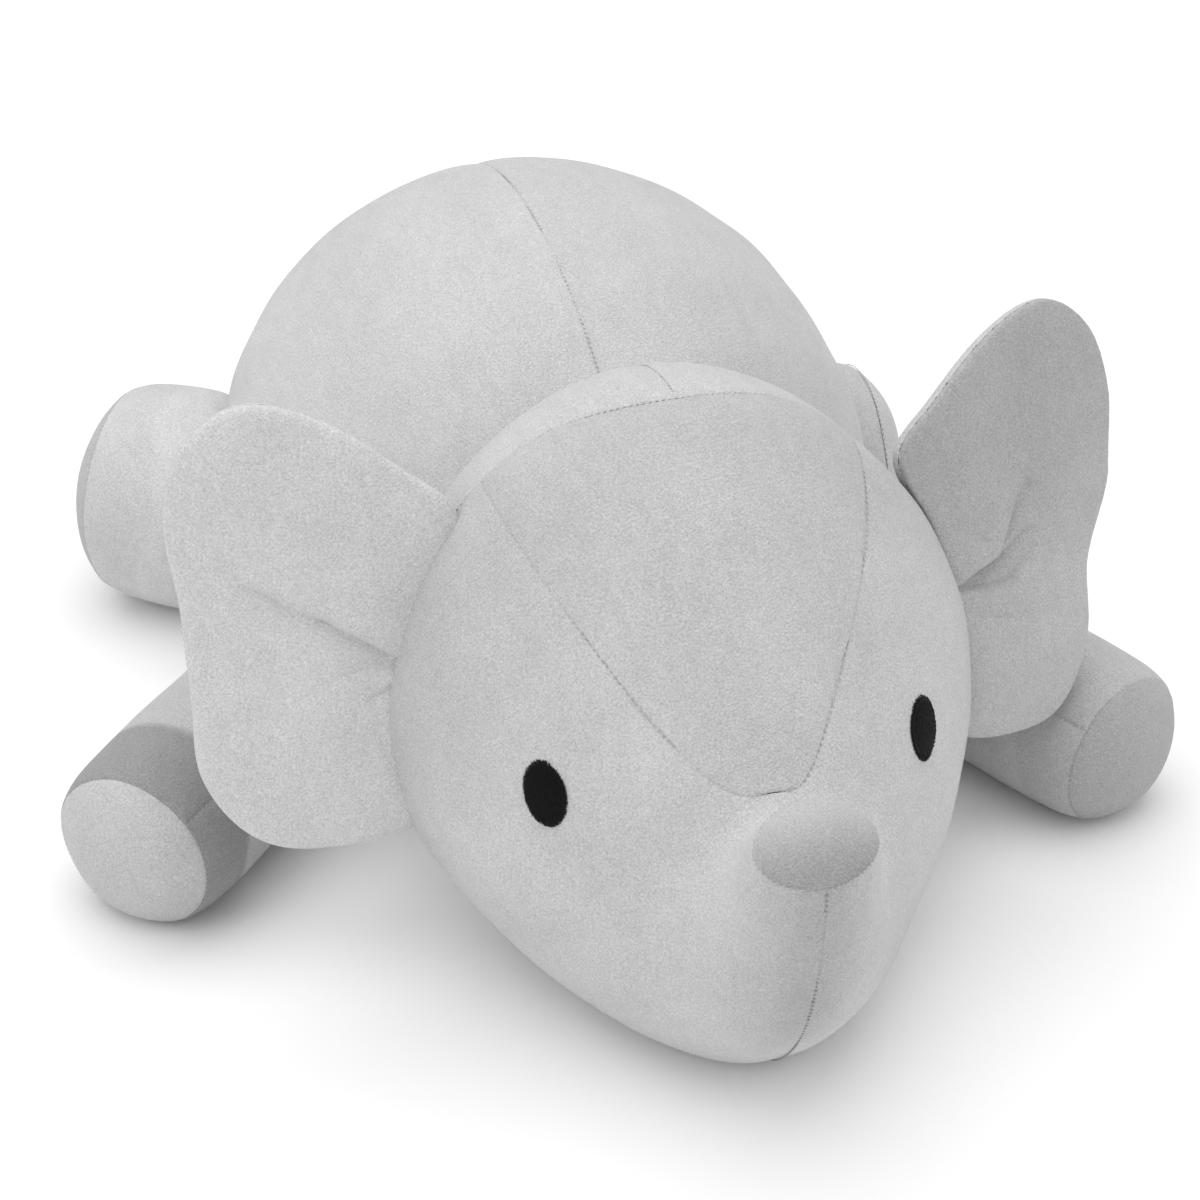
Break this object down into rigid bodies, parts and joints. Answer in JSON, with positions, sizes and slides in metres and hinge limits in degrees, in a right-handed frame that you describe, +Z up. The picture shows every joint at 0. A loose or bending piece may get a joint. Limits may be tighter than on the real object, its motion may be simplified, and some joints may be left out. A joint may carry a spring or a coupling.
{
  "type": "stuffed elephant",
  "caption": "Plush elephant in pale grey velvet lying on its belly, with an upturned trunk stub, padded floppy ears, splayed tube legs with round soles and embroidered oval eyes.",
  "frame": {"origin": "on the floor, under the middle of the torso, on the toy's midline", "axes": "+Z up, the toy faces -Y, its own left side is +X"},
  "size_m": [0.5375, 0.6661, 0.2654],
  "materials": {
    "velvet": "short-pile stretch velvet, pale neutral grey",
    "filling": "white polyester fibre filling",
    "eye_thread": "black satin-stitch embroidery thread"
  },
  "bodies": {
    "torso": {"back_panel_left": "velvet", "back_panel_right": "velvet", "belly_panel": "velvet", "torso_filling": "filling"},
    "head": {"crown_gusset": "velvet", "cheek_left": "velvet", "cheek_right": "velvet", "back_of_head_left": "velvet", "back_of_head_right": "velvet", "trunk_tip": "velvet", "head_filling": "filling", "eye_left": "eye_thread", "eye_right": "eye_thread"},
    "ear_left": {"ear_front_left": "velvet", "ear_back_left": "velvet", "ear_filling_left": "filling"},
    "ear_right": {"ear_front_right": "velvet", "ear_back_right": "velvet", "ear_filling_right": "filling"},
    "front_left_leg": {"front_left_sleeve": "velvet", "front_left_sole": "velvet", "front_left_filling": "filling"},
    "front_right_leg": {"front_right_sleeve": "velvet", "front_right_sole": "velvet", "front_right_filling": "filling"},
    "rear_left_leg": {"rear_left_sleeve": "velvet", "rear_left_sole": "velvet", "rear_left_filling": "filling"},
    "rear_right_leg": {"rear_right_sleeve": "velvet", "rear_right_sole": "velvet", "rear_right_filling": "filling"},
    "tail": {"tail": "velvet"}
  },
  "joints": [
    {"name": "head_nod", "type": "hinge", "parent": "torso", "child": "head", "pos_m": [0, -0.196, 0.14], "axis": [-1, 0, 0], "range_deg": [0, 8], "stiffness_Nm_per_rad": 8},
    {"name": "ear_left_fold", "type": "hinge", "parent": "head", "child": "ear_left", "pos_m": [0.115, -0.2475, 0.1445], "axis": [-0.2094, 0.2319, 0.9499], "range_deg": [-20, 0], "stiffness_Nm_per_rad": 0.3},
    {"name": "ear_right_fold", "type": "hinge", "parent": "head", "child": "ear_right", "pos_m": [-0.115, -0.2475, 0.1445], "axis": [-0.2094, -0.2319, -0.9499], "range_deg": [-20, 12], "stiffness_Nm_per_rad": 0.3},
    {"name": "front_left_leg_swing", "type": "hinge", "parent": "torso", "child": "front_left_leg", "pos_m": [0.138, -0.074, 0.043], "axis": [0, 0, 1], "range_deg": [0, 25], "stiffness_Nm_per_rad": 1},
    {"name": "front_right_leg_swing", "type": "hinge", "parent": "torso", "child": "front_right_leg", "pos_m": [-0.138, -0.078, 0.044], "axis": [0, 0, 1], "range_deg": [-25, 3], "stiffness_Nm_per_rad": 1},
    {"name": "rear_left_leg_swing", "type": "hinge", "parent": "torso", "child": "rear_left_leg", "pos_m": [0.112, 0.026, 0.058], "axis": [0, 0, 1], "range_deg": [-5, 15], "stiffness_Nm_per_rad": 1},
    {"name": "rear_right_leg_swing", "type": "hinge", "parent": "torso", "child": "rear_right_leg", "pos_m": [-0.112, 0.038, 0.061], "axis": [0, 0, 1], "range_deg": [-15, 15], "stiffness_Nm_per_rad": 1},
    {"name": "tail_lift", "type": "hinge", "parent": "torso", "child": "tail", "pos_m": [0, 0.183, 0.118], "axis": [1, 0, 0], "range_deg": [-5, 30], "stiffness_Nm_per_rad": 0.05}
  ]
}
